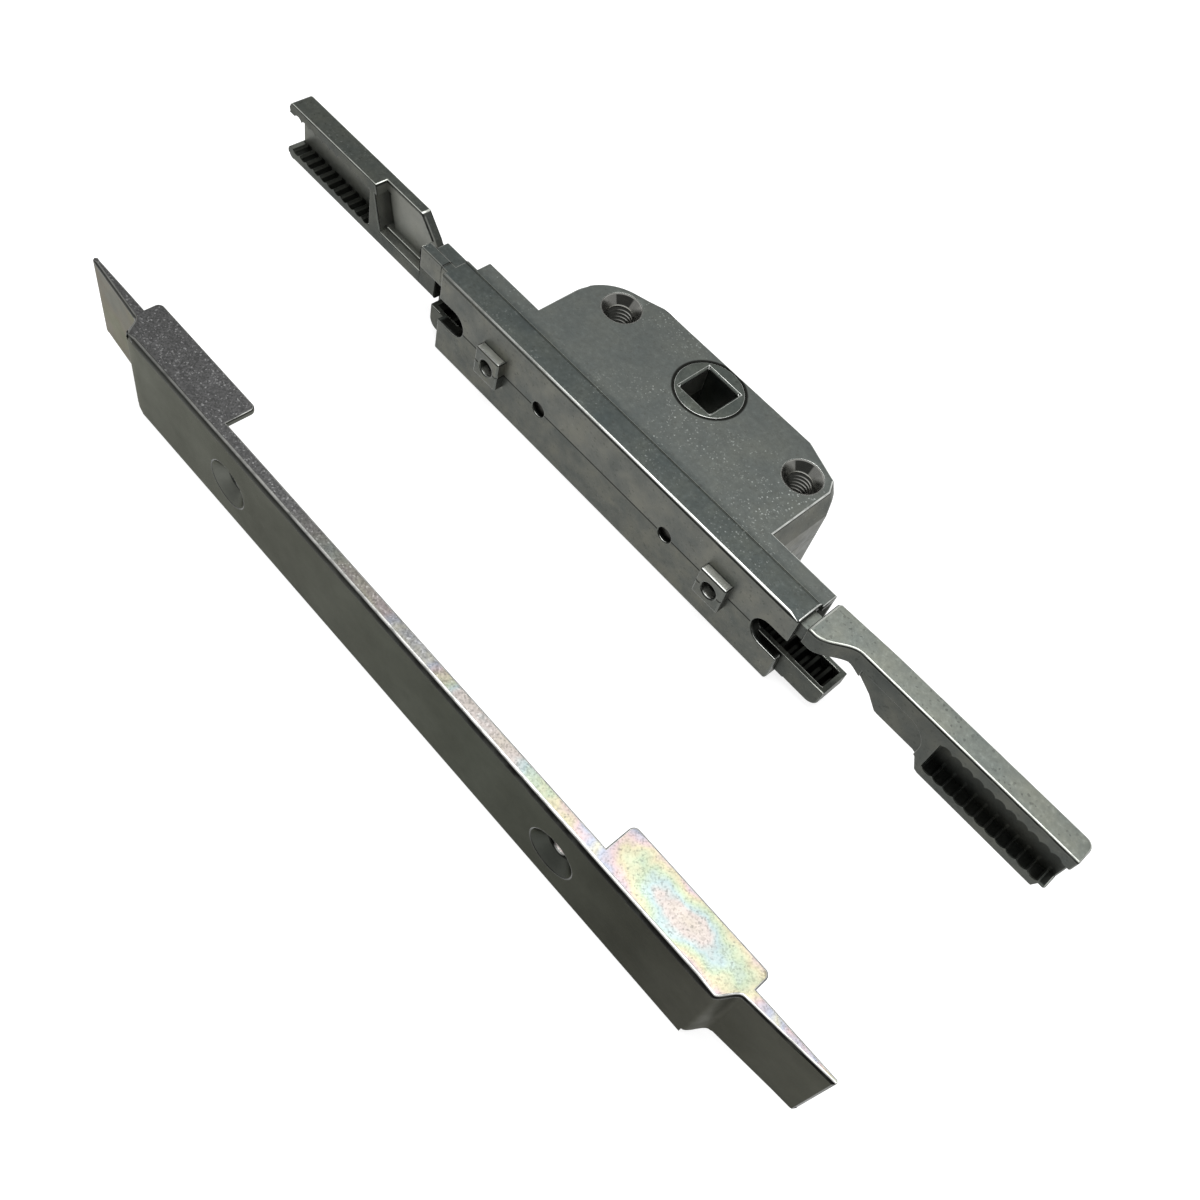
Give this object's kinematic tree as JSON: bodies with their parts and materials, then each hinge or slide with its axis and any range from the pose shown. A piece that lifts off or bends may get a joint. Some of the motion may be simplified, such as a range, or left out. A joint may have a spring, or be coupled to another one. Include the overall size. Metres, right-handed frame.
{
  "type": "espagnolette gearbox",
  "caption": "Window espagnolette gearbox: a quarter turn of a square spindle drives serrated locking-rod arms out of both ends of a flat casing; with a loose front cover plate.",
  "frame": {"origin": "the spindle axis where it meets the handle face of the casing, midway between the two handle screws", "axes": "+X along the gearbox towards the right arm, +Z along the spindle axis out of the handle face, -Y towards the front face of the sash, where the cover plate lies"},
  "size_m": [0.1823, 0.0763, 0.0178],
  "materials": {
    "cast_zinc": "as-cast zinc, dark grey with a fine crystalline speckle",
    "cast_zinc_smooth": "as-cast zinc, satin mid grey",
    "turned_steel": "turned steel, bright",
    "plated_zinc": "plated zinc casting, olive grey with faint rainbow tints on the edges"
  },
  "bodies": {
    "casing": {"upper_shell": "cast_zinc", "lower_shell": "cast_zinc", "threaded_bush_left": "turned_steel", "threaded_bush_right": "turned_steel", "pinion_pin_left": "turned_steel", "pinion_pin_right": "turned_steel"},
    "spindle": {"spindle_gear": "cast_zinc_smooth"},
    "right_slide": {"right_slide": "cast_zinc_smooth"},
    "left_slide": {"left_slide": "cast_zinc_smooth"},
    "pinion_left": {"reversing_pinion_left": "turned_steel"},
    "pinion_right": {"reversing_pinion_right": "turned_steel"},
    "cover": {"cover_plate": "plated_zinc"}
  },
  "joints": [
    {"name": "spindle_turn", "type": "hinge", "parent": "casing", "child": "spindle", "pos_m": [0, 0, -0.0088], "axis": [0, 0, 1], "range_deg": [0, 90]},
    {"name": "right_slide_travel", "type": "slide", "parent": "casing", "child": "right_slide", "axis": [1, 0, 0], "range_m": [0, 0.01885]},
    {"name": "left_slide_travel", "type": "slide", "parent": "casing", "child": "left_slide", "axis": [-1, 0, 0], "range_m": [0, 0.01885]},
    {"name": "left_pinion_turn", "type": "hinge", "parent": "casing", "child": "pinion_left", "pos_m": [-0.01757, -0.0162, -0.0088], "axis": [0, 1, 0], "range_deg": [0, 300]},
    {"name": "right_pinion_turn", "type": "hinge", "parent": "casing", "child": "pinion_right", "pos_m": [0.01327, -0.0162, -0.0088], "axis": [0, 1, 0], "range_deg": [0, 300]},
    {"name": "cover_approach", "type": "slide", "parent": "casing", "child": "cover", "axis": [0, 1, 0], "range_m": [0, 0.035]}
  ],
  "couplings": [
    {"joint": "spindle_turn", "follows": "right_slide_travel", "rad_per_m": 83.333},
    {"joint": "left_slide_travel", "follows": "right_slide_travel", "ratio": 1},
    {"joint": "left_pinion_turn", "follows": "right_slide_travel", "rad_per_m": 277.78},
    {"joint": "right_pinion_turn", "follows": "right_slide_travel", "rad_per_m": 277.78}
  ]
}
